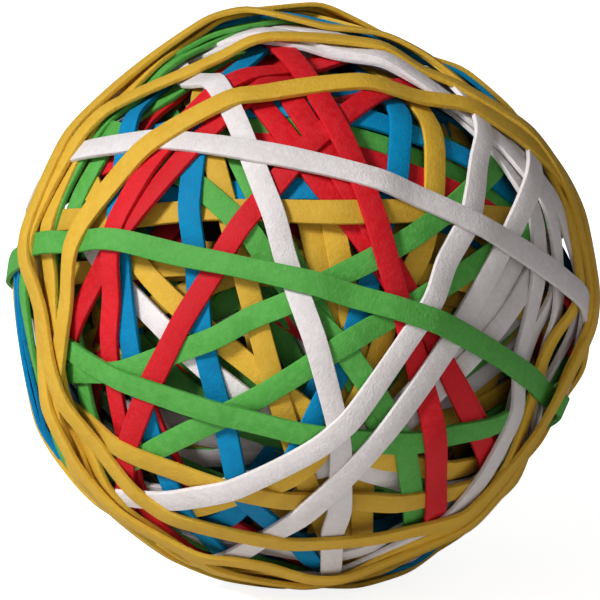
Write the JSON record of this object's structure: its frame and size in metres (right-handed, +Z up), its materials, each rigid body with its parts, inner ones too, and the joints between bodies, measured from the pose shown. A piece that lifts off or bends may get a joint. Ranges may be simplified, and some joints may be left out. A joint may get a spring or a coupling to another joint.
{
  "type": "rubber band ball",
  "caption": "Round ball wound from flat rubber bands in several colours, crossing one over another with dark gaps between them.",
  "frame": {"origin": "the ball's centre", "axes": "+Z up, -Y towards the side that the picture shows, +X to that side's right"},
  "size_m": [0.075, 0.0738, 0.074],
  "materials": {
    "white_rubber": "matte, powdery",
    "yellow_rubber": "matte, powdery",
    "green_rubber": "matte, powdery",
    "red_rubber": "matte, powdery",
    "blue_rubber": "matte, powdery",
    "inner_rubber": "matte, in shadow"
  },
  "bodies": {
    "root": {"inner_ball": "inner_rubber", "band_01_yellow": "yellow_rubber", "band_02_yellow": "yellow_rubber", "band_03_yellow": "yellow_rubber", "band_04_white": "white_rubber", "band_05_blue": "blue_rubber", "band_06_green": "green_rubber", "band_07_blue": "blue_rubber", "band_08_red": "red_rubber", "band_09_white": "white_rubber", "band_10_white": "white_rubber", "band_11_green": "green_rubber", "band_12_yellow": "yellow_rubber", "band_13_red": "red_rubber", "band_14_yellow": "yellow_rubber", "band_15_blue": "blue_rubber", "band_16_yellow": "yellow_rubber", "band_17_red": "red_rubber", "band_18_red": "red_rubber", "band_19_white": "white_rubber", "band_20_green": "green_rubber", "band_21_yellow": "yellow_rubber", "band_22_green": "green_rubber", "band_23_blue": "blue_rubber", "band_24_blue": "blue_rubber", "band_25_red": "red_rubber", "band_26_red": "red_rubber", "band_27_green": "green_rubber", "band_28_green": "green_rubber", "band_29_red": "red_rubber", "band_30_yellow": "yellow_rubber", "band_31_green": "green_rubber", "band_32_red": "red_rubber", "band_33_white": "white_rubber", "band_34_white": "white_rubber", "band_35_white": "white_rubber", "band_36_white": "white_rubber", "band_37_white": "white_rubber", "band_38_white": "white_rubber", "band_39_white": "white_rubber", "band_40_white": "white_rubber", "band_41_green": "green_rubber", "band_42_green": "green_rubber", "band_43_blue": "blue_rubber", "band_44_blue": "blue_rubber", "band_45_yellow": "yellow_rubber", "band_46_yellow": "yellow_rubber", "band_47_yellow": "yellow_rubber", "band_48_green": "green_rubber", "band_49_white": "white_rubber", "band_50_yellow": "yellow_rubber", "band_51_yellow": "yellow_rubber", "band_52_yellow": "yellow_rubber"}
  },
  "joints": []
}
